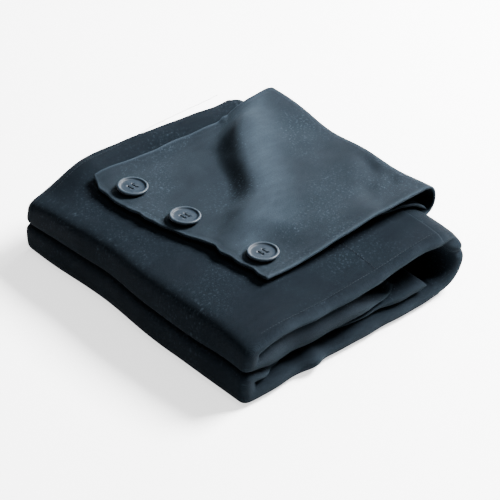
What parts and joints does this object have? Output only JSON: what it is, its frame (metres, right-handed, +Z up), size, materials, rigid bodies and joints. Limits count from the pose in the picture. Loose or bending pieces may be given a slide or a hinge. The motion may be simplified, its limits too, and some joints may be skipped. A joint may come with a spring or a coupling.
{
  "type": "folded infrared sauna blanket",
  "caption": "Thick quilted heating blanket in dark navy cloth, folded into a low stack with rounded ends, under a soft flap that carries sewn four-hole buttons.",
  "frame": {"origin": "middle of the folded stack's footprint, on the surface that it lies on", "axes": "+Z up; X along the fold lines, with the open layered ends at both +X and -X and the power inlet at -X; -Y is the front with the two round folds, +Y is the rear fold and the fold line of the flap"},
  "size_m": [0.398, 0.342, 0.1159],
  "materials": {
    "navy_cloth": "matt woven",
    "white_fibre": "soft fibre wadding",
    "grey_felt": "matt felt",
    "black_cable": "smooth silicone",
    "coated_lining": "coated, slight sheen",
    "button_resin": "satin gloss",
    "sewing_thread": "twisted",
    "black_plastic": "fine matt",
    "contact_brass": "bright",
    "white_ceramic": "fired, matt"
  },
  "bodies": {
    "lower_fold": {"lower_cover": "navy_cloth", "lower_wadding": "white_fibre", "lower_heating_cable": "black_cable", "lower_heater_carrier": "grey_felt", "lower_lining": "coated_lining", "lower_free_edge_hem": "navy_cloth", "lower_side_binding_left": "navy_cloth", "lower_side_binding_right": "navy_cloth", "inlet_housing": "black_plastic", "inlet_contact_live": "contact_brass", "inlet_contact_neutral": "contact_brass", "inlet_contact_sensor": "contact_brass", "supply_lead": "black_cable", "overheat_thermostat": "white_ceramic"},
    "rear_fold": {"rear_fold_cover": "navy_cloth", "rear_fold_wadding": "white_fibre", "rear_fold_lead": "black_cable", "rear_fold_heater_carrier": "grey_felt", "rear_fold_lining": "coated_lining", "rear_fold_side_binding_left": "navy_cloth", "rear_fold_side_binding_right": "navy_cloth"},
    "upper_fold": {"upper_cover": "navy_cloth", "upper_wadding": "white_fibre", "upper_heating_cable": "black_cable", "upper_heater_carrier": "grey_felt", "upper_lining": "coated_lining", "upper_free_edge_hem": "navy_cloth", "upper_side_binding_left": "navy_cloth", "upper_side_binding_right": "navy_cloth", "temperature_sensor": "white_ceramic", "flap_fold_cover": "navy_cloth", "flap_fold_interlining": "grey_felt", "flap_fold_lining": "navy_cloth", "flap_tail_cover": "navy_cloth", "flap_tail_interlining": "grey_felt", "flap_tail_lining": "navy_cloth"},
    "flap": {"flap_cover": "navy_cloth", "flap_interlining": "grey_felt", "flap_lining": "navy_cloth"},
    "left_button": {"left_button": "button_resin", "left_button_thread": "sewing_thread"},
    "middle_button": {"middle_button": "button_resin", "middle_button_thread": "sewing_thread"},
    "right_button": {"right_button": "button_resin", "right_button_thread": "sewing_thread"}
  },
  "joints": [
    {"name": "fold_roll", "type": "slide", "parent": "lower_fold", "child": "rear_fold", "axis": [0, 1, 0], "range_m": [0, 0.0542]},
    {"name": "upper_fold_open", "type": "hinge", "parent": "rear_fold", "child": "upper_fold", "pos_m": [0, 0.1267, 0.0453], "axis": [-1, 0, 0], "range_deg": [0, 90], "deforming": ["rear_fold_cover", "rear_fold_wadding", "rear_fold_lead", "rear_fold_heater_carrier", "rear_fold_lining", "rear_fold_side_binding_left", "rear_fold_side_binding_right"]},
    {"name": "flap_open", "type": "hinge", "parent": "upper_fold", "child": "flap", "pos_m": [0, 0.1565, 0.1034], "axis": [-1, 0, 0], "range_deg": [0, 90], "deforming": ["flap_fold_cover", "flap_fold_interlining", "flap_fold_lining"]},
    {"name": "left_button_tilt", "type": "hinge", "parent": "flap", "child": "left_button", "pos_m": [-0.1055, -0.08405, 0.0947], "axis": [1, 0, 0], "range_deg": [-6, 6], "stiffness_Nm_per_rad": 0.05},
    {"name": "middle_button_tilt", "type": "hinge", "parent": "flap", "child": "middle_button", "pos_m": [-0.0155, -0.08005, 0.09649], "axis": [1, 0, 0], "range_deg": [-6, 6], "stiffness_Nm_per_rad": 0.05},
    {"name": "right_button_tilt", "type": "hinge", "parent": "flap", "child": "right_button", "pos_m": [0.0985, -0.06195, 0.09683], "axis": [1, 0, 0], "range_deg": [-6, 6], "stiffness_Nm_per_rad": 0.05}
  ],
  "couplings": [
    {"joint": "fold_roll", "follows": "upper_fold_open", "m_per_rad": 0.0342}
  ]
}
